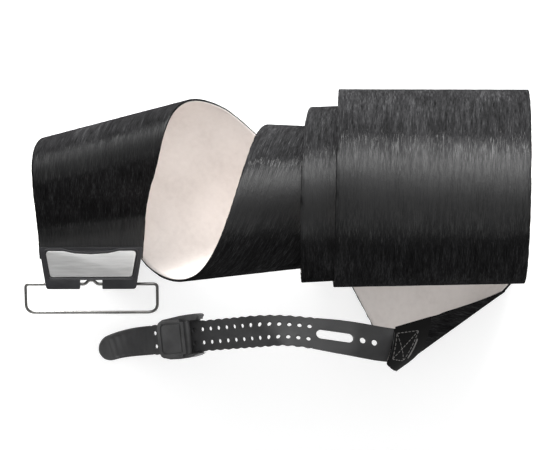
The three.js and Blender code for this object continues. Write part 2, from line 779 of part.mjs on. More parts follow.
// A frame that stands on the plush side of the strip or strap.
function standOn(group, distance, xDirection) {
  const { place, along, inward, across } = frameAt(distance);
  const up = inward.clone().negate();
  const basis = xDirection === 'across'
    ? [across, along.clone().negate(), up]
    : [along, across, up];
  group.position.copy(place);
  group.setRotationFromMatrix(new THREE.Matrix4().makeBasis(...basis));
  return group;
}

function piece(name, geometry, material) {
  const mesh = new THREE.Mesh(geometry, material);
  mesh.name = name;
  return mesh;
}

const skin = new THREE.Group();
skin.position.copy(HOME);
skin.add(
  piece('plush_fabric', stripLayer(PLUSH), PLUSH_BLACK),
  piece('membrane', stripLayer(MEMBRANE), MEMBRANE_GREY),
  piece('adhesive_layer', stripLayer(ADHESIVE), ADHESIVE_CREAM),
);

const buckle = standOn(new THREE.Group(), BUCKLE.along, 'across');
buckle.add(
  piece('tip_front_shell', frontShell(), BUCKLE_BLACK),
  piece('tip_back_shell', backShell(), BUCKLE_BLACK),
  piece('tip_plate', inlayPlate(), PLATE_STEEL),
);
RIVETS.xs.forEach((x, i) => buckle.add(piece(`tip_rivet_${i + 1}`, rivet(x), WIRE_STEEL)));
const loop = piece('wire_loop', wireLoop(), WIRE_STEEL);
loop.position.set(0, WIRE.axisY, 0);
loop.rotation.x = THREE.MathUtils.degToRad(WIRE.lieDown);
buckle.add(loop);
skin.add(buckle);

skin.add(
  piece('tail_strap', tailStrap(), STRAP_BLACK),
  piece('tail_patch', tailPatch(), PATCH_BLACK),
  piece('box_stitch', boxStitch(), THREAD_GREY),
  piece('bar_stitch', barStitch(), THREAD_GREY),
);

const clip = standOn(new THREE.Group(), CLIP.along, 'along');
clip.add(
  piece('clip_body', clipBody(), CLIP_BLACK),
  piece('clip_lever', clipLever(), CLIP_BLACK),
  piece('lever_pin', leverPin(), WIRE_STEEL),
);
skin.add(clip);

export default skin;
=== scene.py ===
"""Looks of a loosely rolled climbing skin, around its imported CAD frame."""
import math

import bmesh
import bpy
import numpy as np
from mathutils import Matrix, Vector


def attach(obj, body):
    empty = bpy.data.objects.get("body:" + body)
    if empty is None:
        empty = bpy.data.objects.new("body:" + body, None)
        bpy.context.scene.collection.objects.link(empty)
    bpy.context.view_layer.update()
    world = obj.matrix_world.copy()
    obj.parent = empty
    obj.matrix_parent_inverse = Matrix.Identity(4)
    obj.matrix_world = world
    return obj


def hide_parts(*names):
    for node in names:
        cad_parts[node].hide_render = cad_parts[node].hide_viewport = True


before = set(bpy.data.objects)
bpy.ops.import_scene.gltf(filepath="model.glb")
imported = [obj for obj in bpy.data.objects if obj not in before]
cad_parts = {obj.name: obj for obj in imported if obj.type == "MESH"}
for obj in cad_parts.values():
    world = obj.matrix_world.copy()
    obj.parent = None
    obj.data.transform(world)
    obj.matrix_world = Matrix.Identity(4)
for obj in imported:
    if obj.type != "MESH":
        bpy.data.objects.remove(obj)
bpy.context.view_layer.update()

MM = 0.001

# ---------- the strip's path, as in the CAD, in millimetres ----------

HOME = np.array([1.1, 4.0, -0.1])
FOOT = np.array([112, 26.5, 1.2]) + HOME
FOOT_HEADING = math.radians(1.7)
PATH_STEP = 1.0
# Distance from the foot of the roll, bend per metre, lean of the bend line in degrees.
WINDINGS = np.array([
    (0, 15.25, -1.5), (105, 14.75, -2), (210, 14.75, 0.5), (315, 16, -4), (415, 15.75, -4),
    (505, 17, -2.5), (595, 16.75, -4), (680, 17, -4), (760, 19, -6), (835, 20.75, -11),
    (905, 19.75, -20.5), (975, 16.5, -24.5), (1030, 12.5, -33), (1070, 21.75, -35.5),
    (1100, 13.75, -32.5), (1130, 1.5, -30), (1155, -0.5, -27.5), (1180, 16.6, -30.6),
    (1205, 37.6, -23), (1235, 46, -22.1), (1270, 24.4, -21.2), (1305, -32, -1.2),
    (1316, -34, -8.1), (1327, -32, -6), (1330, 0, 0), (1360, 0, 0),
])
TAIL = np.array([
    (0, 0, -1.5), (40, 4.5, 25), (60, 8, 28), (80, 13, 32), (100, 18.5, 34), (120, 22.5, 33),
    (140, 27, 46.9), (165, 19.5, 48.4), (185, 5.2, 62.4), (205, -0.2, 39.2), (230, 7.8, 12.9),
    (255, 29.3, -48.6), (278, -5.8, -48.3), (292, 0, -32.1), (352, 0, 48.3), (374, -36.4, 36.5),
    (400, -15.4, 10.8),
])
STRIP_WIDTHS = np.array([
    (-166, 27), (-57, 131), (900, 132), (1030, 122), (1100, 125), (1155, 119),
    (1205, 101), (1270, 83), (1340, 73), (1360, 72),
])
STRIP_ENDS = (-166, 1341)
STEEPEST_BEND_LINE = 3


def bend_at(s):
    """Bend of the path at a station, per millimetre."""
    table = TAIL if s < 0 else WINDINGS
    return np.interp(abs(s), table[:, 0], table[:, 1]) / 1000


def lean_at(s):
    """How far the bend line at a station runs along the strip for each step across."""
    table = TAIL if s < 0 else WINDINGS
    return math.tan(math.radians(np.interp(abs(s), table[:, 0], table[:, 2])))


def spun(axis, angle, vectors):
    """The rows of vectors, turned about an axis."""
    cross = np.cross(axis, vectors)
    along = np.outer(vectors @ axis, axis)
    return vectors * math.cos(angle) + cross * math.sin(angle) + along * (1 - math.cos(angle))


def walk_path(direction, length):
    """Rows of place, along, inward and across, one step apart."""
    along = np.array([-math.sin(FOOT_HEADING), math.cos(FOOT_HEADING), 0])
    inward = np.array([0.0, 0, 1])
    frame_rows = np.array([along, inward, np.cross(along, inward)])
    place = FOOT.copy()
    rows = [np.vstack([place, frame_rows])]
    step = direction * PATH_STEP
    for i in range(int(length / PATH_STEP)):
        middle = (i + 0.5) * step
        spin = (frame_rows[0] * lean_at(middle) + frame_rows[2]) * bend_at(middle) * step / 2
        angle = float(np.linalg.norm(spin))
        axis = spin / angle if angle > 0 else frame_rows[2]
        frame_rows = spun(axis, angle, frame_rows)
        place = place + frame_rows[0] * step
        frame_rows = spun(axis, angle, frame_rows)
        rows.append(np.vstack([place, frame_rows]))
    return np.array(rows)


TO_TIP = walk_path(1, WINDINGS[-1, 0])
TO_TAIL = walk_path(-1, TAIL[-1, 0] + 2 * PATH_STEP)


def frame_at(s):
    """Place, along, inward and across at a station, between two rows of the path."""
    rows = TO_TAIL if s < 0 else TO_TIP
    exact = abs(s) / PATH_STEP
    i = min(int(exact), len(rows) - 2)
    row = rows[i] + (rows[i + 1] - rows[i]) * (exact - i)
    row[1:] /= np.linalg.norm(row[1:], axis=1, keepdims=True)
    return row


def on_bend_line(s, across, height):
    """The point on a station's bend line, with a height towards the adhesive side."""
    place, along, inward, side = frame_at(s)
    return (place + side * across + along * across * lean_at(s) + inward * height) * MM


def on_strip(distance, across, height):
    """The point for a place given in the flat: halves its way to the bend line through it."""
    low = distance - STEEPEST_BEND_LINE * abs(across)
    high = distance + STEEPEST_BEND_LINE * abs(across)
    for _ in range(36):
        middle = (low + high) / 2
        if middle + across * lean_at(middle) < distance:
            low = middle
        else:
            high = middle
    return on_bend_line((low + high) / 2, across, height)


def strip_half(distance):
    """Half the strip's width at a distance along the flat strip."""
    return np.interp(distance, STRIP_WIDTHS[:, 0], STRIP_WIDTHS[:, 1]) / 2


def reach(s):
    """How far the bend line of station s goes each way before it leaves the strip."""
    lean = lean_at(s)
    ends = []
    for side in (-1, 1):
        across = side * strip_half(s)
        for _ in range(8):
            across = side * strip_half(s + across * lean)
        ends.append(across)
    if lean > 0 and s < 0:
        ends[0] = max(ends[0], (STRIP_ENDS[0] - s) / lean)
    return ends


# ---------- meshes ----------

def linked_object(name, data):
    made = bpy.data.objects.new(name, data)
    bpy.context.scene.collection.objects.link(made)
    return made


def piece(name, vertices, faces, uvs=None):
    """A smooth mesh object; the UVs, where given, are its places on the flat strip."""
    mesh = bpy.data.meshes.new(name)
    mesh.from_pydata([tuple(v) for v in vertices], [], faces)
    mesh.validate()
    if uvs is not None:
        layer = mesh.uv_layers.new(name="flat")
        corner_vertices = np.zeros(len(mesh.loops), dtype=int)
        mesh.loops.foreach_get("vertex_index", corner_vertices)
        layer.data.foreach_set("uv", np.asarray(uvs, float)[corner_vertices].ravel())
    mesh.polygons.foreach_set("use_smooth", [True] * len(mesh.polygons))
    made = linked_object(name, mesh)
    face_out(made)
    return made


def face_out(made):
    """Turns every face of a closed mesh outwards."""
    work = bmesh.new()
    work.from_mesh(made.data)
    bmesh.ops.recalc_face_normals(work, faces=work.faces)
    if work.calc_volume(signed=True) < 0:
        bmesh.ops.reverse_faces(work, faces=work.faces)
    work.to_mesh(made.data)
    work.free()


def ring_faces(rings, sides):
    """Quads between rings of the same size, and a face over each end."""
    faces = []
    for r in range(rings - 1):
        for k in range(sides):
            a, b = r * sides + k, r * sides + (k + 1) % sides
            faces.append((a, b, b + sides, a + sides))
    faces.append(tuple(range(sides)))
    faces.append(tuple(range((rings - 1) * sides, rings * sides)))
    return faces


def closed_ring_faces(rings, around):
    """Quads of a closed tube of closed rings."""
    return [(i * around + k, i * around + (k + 1) % around,
             (i + 1) % rings * around + (k + 1) % around, (i + 1) % rings * around + k)
            for i in range(rings) for k in range(around)]


def placed(made, body, material, slot, replaces=()):
    """Gives a piece its material and the body it rides on, and hides the nodes it stands for. The
    slot is not used.
    """
    made.data.materials.clear()
    made.data.materials.append(material)
    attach(made, body)
    if replaces:
        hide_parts(*replaces)


# ---------- materials ----------

def new_material(name):
    material = bpy.data.materials.new(name)
    material.use_nodes = True
    nodes = material.node_tree.nodes
    nodes.clear()
    shader = nodes.new("ShaderNodeBsdfPrincipled")
    output = nodes.new("ShaderNodeOutputMaterial")
    material.node_tree.links.new(shader.outputs["BSDF"], output.inputs["Surface"])
    return material, material.node_tree, shader


def linked(tree, start, end):
    tree.links.new(start, end)


def mapped(tree, scale, source="UV"):
    place = tree.nodes.new("ShaderNodeTexCoord")
    mapping = tree.nodes.new("ShaderNodeMapping")
    mapping.inputs["Scale"].default_value = scale
    linked(tree, place.outputs[source], mapping.inputs["Vector"])
    return mapping.outputs["Vector"]


def noise(tree, vector, detail, roughness=0.5):
    node = tree.nodes.new("ShaderNodeTexNoise")
    node.inputs["Scale"].default_value = 1.0
    node.inputs["Detail"].default_value = detail
    node.inputs["Roughness"].default_value = roughness
    linked(tree, vector, node.inputs["Vector"])
    return node.outputs["Fac"]


def ramp(tree, value, stops):
    """A colour that follows a value through stops of (value, colour)."""
    node = tree.nodes.new("ShaderNodeValToRGB")
    while len(node.color_ramp.elements) < len(stops):
        node.color_ramp.elements.new(0.5)
    for element, (at, colour) in zip(node.color_ramp.elements, stops):
        element.position = at
        element.color = (*colour, 1)
    linked(tree, value, node.inputs["Fac"])
    return node.outputs["Color"]


def spread(tree, value, low, high, from_low=0.0, from_high=1.0):
    """A value mapped in a straight line from one range to another, and kept inside it."""
    node = tree.nodes.new("ShaderNodeMapRange")
    node.inputs["From Min"].default_value = from_low
    node.inputs["From Max"].default_value = from_high
    node.inputs["To Min"].default_value = low
    node.inputs["To Max"].default_value = high
    linked(tree, value, node.inputs["Value"])
    return node.outputs["Result"]


def combined(tree, how, first, second):
    """Two values, or a value and a number, joined by a sum or a product."""
    node = tree.nodes.new("ShaderNodeMath")
    node.operation = how
    for socket, value in zip(node.inputs, (first, second)):
        if isinstance(value, (int, float)):
            socket.default_value = value
        else:
            linked(tree, value, socket)
    return node.outputs["Value"]


def bump(tree, shader, height, strength, distance):
    node = tree.nodes.new("ShaderNodeBump")
    node.inputs["Strength"].default_value = strength
    node.inputs["Distance"].default_value = distance
    linked(tree, height, node.inputs["Height"])
    linked(tree, node.outputs["Normal"], shader.inputs["Normal"])


# Painted shade beside the buckle: the share of the pile's brightness, in colour and gloss, that is
# left there, and the stretch of the strip, in metres from the foot of the roll, over which it
# falls.
PAINTED_SHADE_SHARE = 0.8
PAINTED_SHADE_STRETCH = (1.28, 1.31)


def painted_shade_near_buckle(tree):
    """One along the strip, falling beside the buckle, where shade is painted on the pile."""
    place = tree.nodes.new("ShaderNodeTexCoord")
    parts = tree.nodes.new("ShaderNodeSeparateXYZ")
    linked(tree, place.outputs["UV"], parts.inputs["Vector"])
    return spread(tree, parts.outputs["X"], 1, PAINTED_SHADE_SHARE, *PAINTED_SHADE_STRETCH)


def plush_material():
    """Short nylon pile combed along the strip: fine streaks, and a gloss that follows them."""
    material, tree, shader = new_material("plush")
    fine = noise(tree, mapped(tree, (150, 2100, 1)), detail=4, roughness=0.7)
    broad = noise(tree, mapped(tree, (45, 420, 1)), detail=3, roughness=0.6)
    cloud = noise(tree, mapped(tree, (18, 40, 1)), detail=2)
    streak = combined(tree, "ADD", combined(tree, "MULTIPLY", fine, 0.65),
                      combined(tree, "MULTIPLY", broad, 0.35))
    lit = combined(tree, "ADD", combined(tree, "MULTIPLY", streak, 0.85),
                   combined(tree, "MULTIPLY", cloud, 0.15))
    pile = ramp(tree, lit, [
        (0.37, (0.0025, 0.0025, 0.0025)),
        (0.52, (0.012, 0.012, 0.0124)),
        (0.67, (0.042, 0.042, 0.043)),
    ])
    # Painted shade beside the buckle: the pile's colour is dimmed there.
    unshaded_share = painted_shade_near_buckle(tree)
    darkened = tree.nodes.new("ShaderNodeVectorMath")
    darkened.operation = "SCALE"
    linked(tree, pile, darkened.inputs[0])
    linked(tree, unshaded_share, darkened.inputs["Scale"])
    linked(tree, darkened.outputs["Vector"], shader.inputs["Base Color"])
    linked(tree, spread(tree, streak, 0.47, 0.33, 0.35, 0.7), shader.inputs["Roughness"])
    # The gloss fades where the pile turns away, at a slightly different tilt for each fibre.
    grazing = tree.nodes.new("ShaderNodeLayerWeight")
    tilted = combined(tree, "ADD", grazing.outputs["Facing"],
                      combined(tree, "MULTIPLY", streak, 0.7))
    gloss = spread(tree, tilted, 0.7, 0.0, 0.34, 0.48)
    # The painted shade beside the buckle dims the gloss as well.
    linked(tree, combined(tree, "MULTIPLY", gloss, unshaded_share), shader.inputs["Specular IOR Level"])
    shader.inputs["Anisotropic"].default_value = 0.5
    bump(tree, shader, streak, 0.7, 0.0006)
    return material


def adhesive_material():
    """Smooth tacky coating over a fine plain weave, off-white with a breath of pink."""
    material, tree, shader = new_material("adhesive")
    threads = []
    for direction, scale in (("X", (1400, 60, 1)), ("Y", (60, 1400, 1))):
        wave = tree.nodes.new("ShaderNodeTexWave")
        wave.inputs["Scale"].default_value = 1.0
        wave.inputs["Distortion"].default_value = 0.4
        wave.bands_direction = direction
        linked(tree, mapped(tree, scale), wave.inputs["Vector"])
        threads.append(wave.outputs["Fac"])
    weave = combined(tree, "MULTIPLY", threads[0], threads[1])
    cloud = noise(tree, mapped(tree, (25, 25, 1)), detail=5, roughness=0.6)
    grain = noise(tree, mapped(tree, (260, 260, 1)), detail=4)
    mottled = combined(tree, "ADD", combined(tree, "MULTIPLY", cloud, 0.7),
                       combined(tree, "MULTIPLY", grain, 0.3))
    linked(tree, ramp(tree, mottled, [
        (0.3, (0.62, 0.57, 0.54)), (0.5, (0.71, 0.66, 0.63)), (0.7, (0.77, 0.72, 0.69)),
    ]), shader.inputs["Base Color"])
    linked(tree, spread(tree, grain, 0.5, 0.7), shader.inputs["Roughness"])
    shader.inputs["Specular IOR Level"].default_value = 0.3
    bump(tree, shader, combined(tree, "ADD", combined(tree, "MULTIPLY", weave, 0.4), grain),
         0.25, 0.0002)
    return material


def dark_material(name, colour, roughness, grain=2200, depth=0.00008, gloss=0.5):
    """Moulded plastic or rubber: faint mottling, a fine grain and worn, slightly duller spots."""
    material, tree, shader = new_material(name)
    cloud = noise(tree, mapped(tree, (90, 90, 90), "Object"), detail=4, roughness=0.6)
    fine = noise(tree, mapped(tree, (grain, grain, grain), "Object"), detail=2)
    low, high = (tuple(c * share for c in colour) for share in (0.76, 1.24))
    linked(tree, ramp(tree, cloud, [(0.3, low), (0.7, high)]), shader.inputs["Base Color"])
    linked(tree, spread(tree, cloud, roughness - 0.07, roughness + 0.09, 0.3, 0.7),
           shader.inputs["Roughness"])
    shader.inputs["Specular IOR Level"].default_value = gloss
    bump(tree, shader, fine, 0.3, depth)
    return material


def metal_material(name, colour, roughness, scratch=(300, 300, 300)):
    """Bare metal with a brushed or drawn grain."""
    material, tree, shader = new_material(name)
    lines = noise(tree, mapped(tree, scratch, "Object"), detail=5, roughness=0.65)
    low = tuple(c * 0.86 for c in colour)
    linked(tree, ramp(tree, lines, [(0.3, low), (0.7, colour)]), shader.inputs["Base Color"])
    linked(tree, spread(tree, lines, roughness - 0.06, roughness + 0.08, 0.3, 0.7),
           shader.inputs["Roughness"])
    shader.inputs["Metallic"].default_value = 1.0
    bump(tree, shader, lines, 0.2, 0.00002)
    return material


PLUSH = plush_material()
ADHESIVE = adhesive_material()
MEMBRANE = dark_material("membrane", (0.03, 0.03, 0.031), 0.6)
BUCKLE_BLACK = dark_material("buckle_black", (0.018, 0.018, 0.021), 0.38)
CLIP_BLACK = dark_material("clip_black", (0.045, 0.045, 0.046), 0.42)
STRAP_RUBBER = dark_material("strap_rubber", (0.026, 0.026, 0.027), 0.5, grain=1500)
PATCH_BLACK = dark_material("patch_black", (0.006, 0.006, 0.006), 0.9, grain=900, depth=0.0004,
                            gloss=0.15)
THREAD = dark_material("thread", (0.16, 0.155, 0.15), 0.7, grain=3000)
PLATE_STEEL = metal_material("plate_steel", (0.74, 0.74, 0.735), 0.5, scratch=(60, 900, 900))
WIRE_STEEL = metal_material("wire_steel", (0.19, 0.187, 0.18), 0.3)


# ---------- the strip ----------

# Heights of each layer's two faces, how far it stays inside the strip's edge, the rounding of its
# lower edge, and how far its loose fibres stray.
PLUSH_LAYER = {"low": -1.05, "high": 0.15, "inset": 0, "rounding": 0.5, "fuzz": 0.22}
MEMBRANE_LAYER = {"low": 0.2, "high": 0.5, "inset": 0.1, "rounding": 0.1, "fuzz": 0}
ADHESIVE_LAYER = {"low": 0.55, "high": 1.05, "inset": 0.35, "rounding": 0.15, "fuzz": 0}
POINTS_ACROSS = 40
POINTS_IN_ROUNDING = 4
STATION_STEP = 3.0
NARROWEST_STATION = 1.2
# The bend line of this station meets a corner of the strip's tail end.
CORNER_STATION = -182
CORNER_CLEARANCE = 0.4


def strip_profile(low, high, inset, rounding):
    """Closed outline of one layer: (share across from -1 to 1, step in from the edge, height)."""
    inner = np.linspace(-1, 1, POINTS_ACROSS)[1:-1]
    corner = [(inset + rounding * (1 - math.sin(angle)), low + rounding * (1 - math.cos(angle)))
              for angle in np.linspace(0, math.pi / 2, POINTS_IN_ROUNDING)]
    return [*((share, 0, low) for share in inner),
            *((1, *place) for place in corner), (1, inset, high),
            *((share, 0, high) for share in inner[::-1]), (-1, inset, high),
            *((-1, *place) for place in corner[::-1])]


def strip_stations():
    first, last = STRIP_ENDS
    first += CORNER_CLEARANCE - strip_half(first) * lean_at(CORNER_STATION)
    return [*np.arange(first, last, STATION_STEP), last]


def strip_layer(name, layer, seed):
    """One layer of the strip: its outline at every station, placed on that station's bend line."""
    rng = np.random.default_rng(seed)
    low, fuzz = layer["low"], layer["fuzz"]
    profile = strip_profile(low, layer["high"], layer["inset"], layer["rounding"])
    vertices, uvs, rings = [], [], 0
    for s in strip_stations():
        left, right = reach(s)
        if right - left < NARROWEST_STATION:
            continue
        rings += 1
        lean = lean_at(s)
        for share, step_in, height in profile:
            across = (left + right) / 2 + share * ((right - left) / 2 - step_in)
            loose = rng.uniform(-fuzz, fuzz) if abs(share) == 1 else 0.0
            rough = rng.uniform(0, fuzz) * 0.4 if height == low else 0.0
            vertices.append(on_bend_line(s, across + loose, height - rough))
            uvs.append(((s + across * lean) * MM, across * MM))
    return piece(name, vertices, ring_faces(rings, len(profile)), uvs)


strip_plush = strip_layer("strip_plush", PLUSH_LAYER, seed=3)
placed(strip_plush, "skin", PLUSH, "plush", ["plush_fabric"])
strip_membrane = strip_layer("strip_membrane", MEMBRANE_LAYER, seed=1)
placed(strip_membrane, "skin", MEMBRANE, "membrane", ["membrane"])
strip_adhesive = strip_layer("strip_adhesive", ADHESIVE_LAYER, seed=1)
placed(strip_adhesive, "skin", ADHESIVE, "adhesive", ["adhesive_layer"])


# ---------- the tail strap ----------

# Stations run down from the strap's root, under the strip's tail, to its tip. Between level_from
# and level_to the strap rises from under the tail to the centre sheet's own height.
STRAP = {"root": -147, "tip": -396, "round": 9, "thick": 2.0, "under": 2.35, "bevel": 0.3,
         "level_from": -168, "level_to": -196, "cut": 2.0}
STRAP_WIDTHS = np.array([(-396, 20.2), (-352, 20.6), (-225, 22.2), (-205, 24.4), (-147, 25.6)])
LADDER = {"first": -225, "pitch": 7, "count": 19, "row": 4.65, "radius": 1.5, "scallop": 0.35}
LADDER_END = LADDER["first"] - (LADDER["count"] - 1) * LADDER["pitch"]
STRAP_SLOT = {"from": -194, "to": -220, "half": 3.4}
SINGLE_HOLES = {"at": (-178.5, -187.2), "radius": 2.1}
RIDGES = {"from": -358, "to": -389, "pitch": 4.8, "high": 0.32, "fade": 2,
          "side_from": 7.2, "side_to": 9.2, "cut": 0.6}
LENGTHWAYS_CUTS = (-8.6, -8, -7.2, -4, 0, 4, 7.2, 8, 8.6)
OUTLINE_STEP = 0.7
TIP_POINTS = 26


def smooth_step(value, low, high):
    share = min(max((value - low) / (high - low), 0), 1)
    return share * share * (3 - 2 * share)


def strap_height(distance):
    """Height of the strap's middle over the centre sheet."""
    return STRAP["under"] * (1 - smooth_step(-distance, -STRAP["level_from"], -STRAP["level_to"]))


def strap_half(distance):
    """Half the strap's width, scalloped beside the rows of holes."""
    bulge = 0.0
    margin = LADDER["pitch"] / 2
    if LADDER_END - margin <= distance <= LADDER["first"] + margin:
        turns = (LADDER["first"] - distance) / LADDER["pitch"]
        bulge = LADDER["scallop"] * math.cos(2 * math.pi * turns)
    return np.interp(distance, STRAP_WIDTHS[:, 0], STRAP_WIDTHS[:, 1]) / 2 + bulge


def circle(x, y, radius, count=20):
    return [(x + radius * math.cos(2 * math.pi * i / count),
             y + radius * math.sin(2 * math.pi * i / count)) for i in range(count)]


def strap_outlines():
    """The strap's edge, its holes and its slot, in the flat."""
    stop = STRAP["tip"] + STRAP["round"]
    xs = [*np.arange(STRAP["root"], stop, -OUTLINE_STEP), stop]
    upper = [(x, strap_half(x)) for x in xs]
    lower = [(x, -strap_half(x)) for x in xs[::-1]]
    tip = [(stop + STRAP["round"] * math.cos(a), strap_half(stop) * math.sin(a))
           for a in np.linspace(math.pi / 2, 1.5 * math.pi, TIP_POINTS)[1:-1]]
    outlines = [upper + tip + lower]
    for i in range(LADDER["count"]):
        for row in (-LADDER["row"], LADDER["row"]):
            outlines.append(circle(LADDER["first"] - i * LADDER["pitch"], row, LADDER["radius"]))
    for x in SINGLE_HOLES["at"]:
        outlines.append(circle(x, 0, SINGLE_HOLES["radius"]))
    half = STRAP_SLOT["half"]
    ends = [(STRAP_SLOT["from"] - half, math.pi / 2, -math.pi / 2),
            (STRAP_SLOT["to"] + half, -math.pi / 2, -1.5 * math.pi)]
    outlines.append([(x + half * math.cos(a), half * math.sin(a))
                     for x, start, end in ends for a in np.linspace(start, end, 14)])
    return outlines


def flat_solid(name, outlines, low, high, bevel):
    """A flat plate with rounded edges from outlines in millimetres; later ones are holes."""
    curve = bpy.data.curves.new(name, "CURVE")
    curve.dimensions = "2D"
    curve.fill_mode = "BOTH"
    curve.extrude = (high - low) / 2 - bevel
    curve.bevel_depth = bevel
    curve.bevel_resolution = 2
    curve.offset = -bevel
    for outline in outlines:
        spline = curve.splines.new("POLY")
        spline.points.add(len(outline) - 1)
        for point, (x, y) in zip(spline.points, outline):
            point.co = (x, y, 0, 1)
        spline.use_cyclic_u = True
    holder = linked_object(name, curve)
    bpy.context.view_layer.update()
    mesh = bpy.data.meshes.new_from_object(holder.evaluated_get(
        bpy.context.evaluated_depsgraph_get()))
    bpy.data.objects.remove(holder)
    work = bmesh.new()
    work.from_mesh(mesh)
    bmesh.ops.remove_doubles(work, verts=work.verts, dist=0.01)
    bmesh.ops.translate(work, verts=work.verts, vec=(0, 0, (low + high) / 2))
    return work, mesh


def cut_across(work, axis, places):
    """Adds edges where planes across an axis meet the plate, so that it can bend there."""
    for place in places:
        centre, normal = Vector((0, 0, 0)), Vector((0, 0, 0))
        centre[axis], normal[axis] = place, 1
        bmesh.ops.bisect_plane(work, geom=work.verts[:] + work.edges[:] + work.faces[:],
                               dist=0.001, plane_co=centre, plane_no=normal)


def finished(work, mesh, name, place):
    """Maps the flat plate's points, keeps the flat ones as its UVs, and makes the piece."""
    layer = work.loops.layers.uv.new("flat")
    for face in work.faces:
        face.smooth = True
        for loop in face.loops:
            loop[layer].uv = (loop.vert.co.x * MM, loop.vert.co.y * MM)
    for vertex in work.verts:
        vertex.co = place(*vertex.co)
    work.to_mesh(mesh)
    work.free()
    mesh.name = name
    made = linked_object(name, mesh)
    face_out(made)
    return made


def by_angle(made, degrees=35):
    """Flat faces stay flat and rounded edges shade smoothly."""
    work = bmesh.new()
    work.from_mesh(made.data)
    for edge in work.edges:
        if len(edge.link_faces) == 2 and edge.calc_face_angle(0) > math.radians(degrees):
            edge.smooth = False
    work.to_mesh(made.data)
    work.free()


def ridge(x, y):
    """Height of the cross ridges near the strap's tip."""
    low, high = RIDGES["to"], RIDGES["from"]
    if not low <= x <= high:
        return 0.0
    wave = 0.5 - 0.5 * math.cos(2 * math.pi * (high - x) / RIDGES["pitch"])
    fade = RIDGES["fade"]
    ends = smooth_step(x, low, low + fade) * (1 - smooth_step(x, high - fade, high))
    sides = 1 - smooth_step(abs(y), RIDGES["side_from"], RIDGES["side_to"])
    return RIDGES["high"] * wave * ends * sides


def tail_strap():
    half = STRAP["thick"] / 2
    work, mesh = flat_solid("tail_strap_fine", strap_outlines(), -half, half, STRAP["bevel"])
    cut_across(work, 0, np.arange(STRAP["root"] - STRAP["cut"], STRAP["tip"], -STRAP["cut"]))
    cut_across(work, 0, np.arange(RIDGES["from"], RIDGES["to"], -RIDGES["cut"]))
    cut_across(work, 1, LENGTHWAYS_CUTS)

    def place(x, y, z):
        raised = -ridge(x, y) if z < -half + 0.01 else 0.0
        return on_strip(x, y, z + raised + strap_height(x))

    return finished(work, mesh, "tail_strap_fine", place)


strap = tail_strap()
by_angle(strap)
placed(strap, "skin", STRAP_RUBBER, "strap_rubber", ["tail_strap"])


# ---------- the tail's patch ----------

PATCH = {"from": -165.6, "to": -141, "inset": 0.8, "low": -2.05, "high": -1.35, "bevel": 0.15,
         "cut_along": 1, "cut_across": 2, "half": 24}


def tail_patch():
    """The webbing patch sewn on the plush at the tail, following the skin's own bends."""
    narrow, wide = (strip_half(PATCH[end]) - PATCH["inset"] for end in ("from", "to"))
    outline = [(PATCH["from"], -narrow), (PATCH["to"], -wide),
               (PATCH["to"], wide), (PATCH["from"], narrow)]
    work, mesh = flat_solid("tail_patch_fine", [outline], PATCH["low"], PATCH["high"],
                            PATCH["bevel"])
    step, half = PATCH["cut_along"], PATCH["half"]
    cut_across(work, 0, np.arange(PATCH["from"] + step, PATCH["to"], step))
    cut_across(work, 1, np.arange(-half, half + 1, PATCH["cut_across"]))
    return finished(work, mesh, "tail_patch_fine", on_strip)


placed(tail_patch(), "skin", PATCH_BLACK, "webbing", ["tail_patch"])


# ---------- pieces that keep the CAD's shape, with softened edges ----------

SAME_PLACE = 0.00001
FLAT_ENOUGH = math.radians(1.5)
SHARP_EDGE = math.radians(28)
# Node, rounding in metres and its segments, body, material and slot.
SOFTENED = [
    ("tip_front_shell", 0.0005, 3, "skin", BUCKLE_BLACK, "black_plastic"),
    ("tip_back_shell", 0.0005, 3, "skin", BUCKLE_BLACK, "black_plastic"),
    ("tip_plate", 0.0004, 3, "skin", PLATE_STEEL, "plate_metal"),
    ("clip_body", 0.0005, 3, "clip", CLIP_BLACK, "black_plastic"),
    ("clip_lever", 0.0004, 3, "lever", CLIP_BLACK, "black_plastic"),
    *((f"tip_rivet_{number}", 0.0002, 2, "skin", WIRE_STEEL, "wire_metal")
      for number in range(1, 5)),
    ("lever_pin", 0.0002, 2, "clip", WIRE_STEEL, "wire_metal"),
]


def softened(node, radius, segments):
    """A copy of a CAD node with its flat faces joined up and its edges rounded."""
    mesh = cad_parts[node].data.copy()
    made = linked_object(node + "_soft", mesh)
    work = bmesh.new()
    work.from_mesh(mesh)
    bmesh.ops.remove_doubles(work, verts=work.verts, dist=SAME_PLACE)
    bmesh.ops.dissolve_limit(work, angle_limit=FLAT_ENOUGH, verts=work.verts, edges=work.edges)
    for face in work.faces:
        face.smooth = True
    work.to_mesh(mesh)
    work.free()
    rounding = made.modifiers.new("rounding", "BEVEL")
    rounding.width = radius
    rounding.segments = segments
    rounding.limit_method = "ANGLE"
    rounding.angle_limit = SHARP_EDGE
    rounding.harden_normals = True
    return made


for node, radius, segments, body, material, slot in SOFTENED:
    placed(softened(node, radius, segments), body, material, slot, [node])


# ---------- the buckle's rim and the wire, in the buckle's own frame ----------

BUCKLE_ALONG = 1347.5
BUCKLE_FRONT = 4.6
PLATE = {"top_half": 31.8, "bottom_half": 29.3, "top": 12.2, "bottom": -6.3, "corner": 2.6,
         "dip": 3.2, "dip_half": 20, "dip_flat": 0.6}
RIM = {"out": 1.25, "wide": 0.95, "high": 0.5, "sunk": 0.4, "apart": 0.05, "arch_points": 9}
WIRE = {"radius": 1.1, "half": 46.6, "axis_y": -11.5, "drop": 22.8, "top_corner": 3,
        "bottom_corner": 7, "hump_half": 5.8, "hump_high": 3.2, "lie_down": 26, "sides": 20,
        "butt_x": 21.7, "joint": 0.4}


def in_buckle(x, y, z):
    """A point of the buckle's frame: x across, y away from the tip, z up off the plush."""
    place, along, inward, across = frame_at(BUCKLE_ALONG)
    return place + across * x - along * y - inward * z


